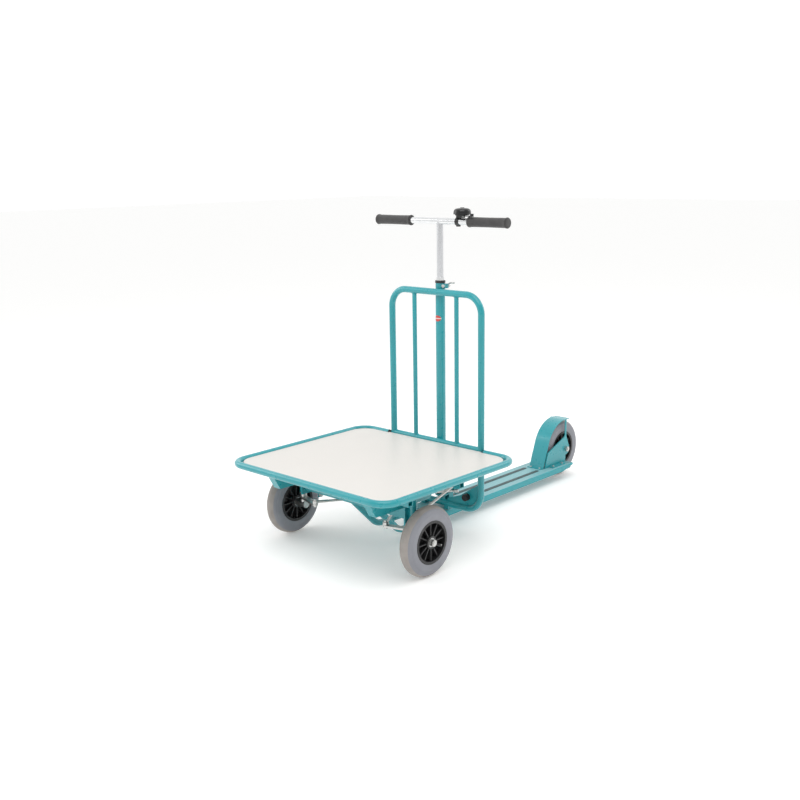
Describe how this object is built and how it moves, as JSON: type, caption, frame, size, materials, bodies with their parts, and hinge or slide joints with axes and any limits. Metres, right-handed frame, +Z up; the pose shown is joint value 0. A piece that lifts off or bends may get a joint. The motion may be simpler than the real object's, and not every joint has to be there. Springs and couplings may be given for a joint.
{
  "type": "platform_trolley",
  "caption": "Three-wheeled kick trolley: loading platform with tube rim and backrest, linked steering from a low deck, adjustable handlebar and a guarded rear wheel.",
  "frame": {"origin": "bottom centre of the trolley's box, on the floor", "axes": "+Z up, the trolley rolls towards -Y, +X is the rider's left"},
  "size_m": [0.706, 1.47, 1.0732],
  "materials": {
    "frame_paint": "smooth",
    "board_laminate": "smooth",
    "zinc_steel": "brushed",
    "chromed_tube": "polished",
    "black_plastic": "matte",
    "grip_foam": "matte",
    "tyre_rubber": "matte",
    "black_rubber": "matte",
    "bearing_steel": "brushed",
    "badge_red": "glossy"
  },
  "bodies": {
    "chassis": {"platform_rim": "frame_paint", "rim_end_plugs": "black_plastic", "platform_board": "board_laminate", "board_cross_rails": "frame_paint", "board_screws": "zinc_steel", "side_channels": "frame_paint", "axle_beam": "frame_paint", "kingpin_thrust_washers": "zinc_steel", "backrest_loop": "frame_paint", "backrest_cross_bar": "frame_paint", "backrest_bars": "frame_paint", "loop_gussets": "frame_paint", "loop_saddles": "frame_paint", "rubber_buffers": "black_rubber", "steering_column": "frame_paint", "column_bushes": "black_plastic", "column_bracket": "frame_paint", "column_badge": "badge_red", "chassis_tubes": "frame_paint", "deck_plate": "frame_paint", "deck_grip_strips": "black_rubber", "wheel_side_plates": "frame_paint", "mudguard": "frame_paint", "rear_axle_bolt": "zinc_steel", "rear_axle_spacers": "zinc_steel", "brace_rods": "zinc_steel", "chassis_bolts": "zinc_steel"},
    "steering": {"steerer_tube": "frame_paint", "steerer_thrust_collar": "frame_paint", "pitman_arm": "frame_paint", "clamp_collar": "frame_paint", "clamp_bolt": "zinc_steel", "stem_bush": "black_plastic"},
    "clamp": {"clamp_lever": "zinc_steel"},
    "handlebar": {"stem_tube": "chromed_tube", "stem_stop_ring": "chromed_tube", "handlebar_tube": "chromed_tube", "grip_left": "grip_foam", "grip_right": "grip_foam", "bell_base": "black_plastic", "bell_dome": "black_plastic", "bell_pin": "zinc_steel"},
    "bell_thumb": {"bell_lever": "black_plastic"},
    "link_left": {"drag_link_left": "zinc_steel"},
    "link_right": {"drag_link_right": "zinc_steel"},
    "stub_left": {"knuckle_left": "zinc_steel", "knuckle_nuts_left": "zinc_steel"},
    "stub_right": {"knuckle_right": "zinc_steel", "knuckle_nuts_right": "zinc_steel"},
    "wheel_left": {"tyre_left": "tyre_rubber", "wheel_rim_left": "black_plastic", "wheel_bearings_left": "bearing_steel"},
    "wheel_right": {"tyre_right": "tyre_rubber", "wheel_rim_right": "black_plastic", "wheel_bearings_right": "bearing_steel"},
    "wheel_rear": {"tyre_rear": "tyre_rubber", "wheel_rim_rear": "black_plastic", "wheel_bearings_rear": "bearing_steel"}
  },
  "joints": [
    {"name": "steer", "type": "hinge", "parent": "chassis", "child": "steering", "pos_m": [0, -0.0841, 0.5], "axis": [0, 0, 1], "range_deg": [-28, 28]},
    {"name": "stem_height", "type": "slide", "parent": "steering", "child": "handlebar", "axis": [0, 0, 1], "range_m": [0, 0.1]},
    {"name": "clamp_release", "type": "hinge", "parent": "steering", "child": "clamp", "pos_m": [0.022, -0.0707, 0.817], "axis": [0, -1, 0], "range_deg": [0, 65]},
    {"name": "bell_strike", "type": "hinge", "parent": "handlebar", "child": "bell_thumb", "pos_m": [0.109, -0.0971, 1.047], "axis": [0, 0, 1], "range_deg": [0, 25], "stiffness_Nm_per_rad": 0.3},
    {"name": "knuckle_turn_left", "type": "hinge", "parent": "chassis", "child": "stub_left", "pos_m": [0.247, -0.503, 0.15], "axis": [0, 0, 1], "range_deg": [-28, 28]},
    {"name": "knuckle_turn_right", "type": "hinge", "parent": "chassis", "child": "stub_right", "pos_m": [-0.247, -0.503, 0.15], "axis": [0, 0, 1], "range_deg": [-28, 28]},
    {"name": "link_swing_left", "type": "hinge", "parent": "steering", "child": "link_left", "pos_m": [-0.088, -0.1121, 0.149], "axis": [0, 0, 1], "range_deg": [-28, 28]},
    {"name": "link_swing_right", "type": "hinge", "parent": "steering", "child": "link_right", "pos_m": [0.088, -0.1121, 0.129], "axis": [0, 0, 1], "range_deg": [-28, 28]},
    {"name": "roll_left", "type": "hinge", "parent": "stub_left", "child": "wheel_left", "pos_m": [0.3005, -0.503, 0.11], "axis": [1, 0, 0], "continuous": true},
    {"name": "roll_right", "type": "hinge", "parent": "stub_right", "child": "wheel_right", "pos_m": [-0.3005, -0.503, 0.11], "axis": [1, 0, 0], "continuous": true},
    {"name": "roll_rear", "type": "hinge", "parent": "chassis", "child": "wheel_rear", "pos_m": [0, 0.625, 0.11], "axis": [1, 0, 0], "continuous": true}
  ],
  "couplings": [
    {"joint": "knuckle_turn_left", "follows": "steer", "ratio": 1},
    {"joint": "knuckle_turn_right", "follows": "steer", "ratio": 1},
    {"joint": "link_swing_left", "follows": "steer", "ratio": -1},
    {"joint": "link_swing_right", "follows": "steer", "ratio": -1}
  ]
}
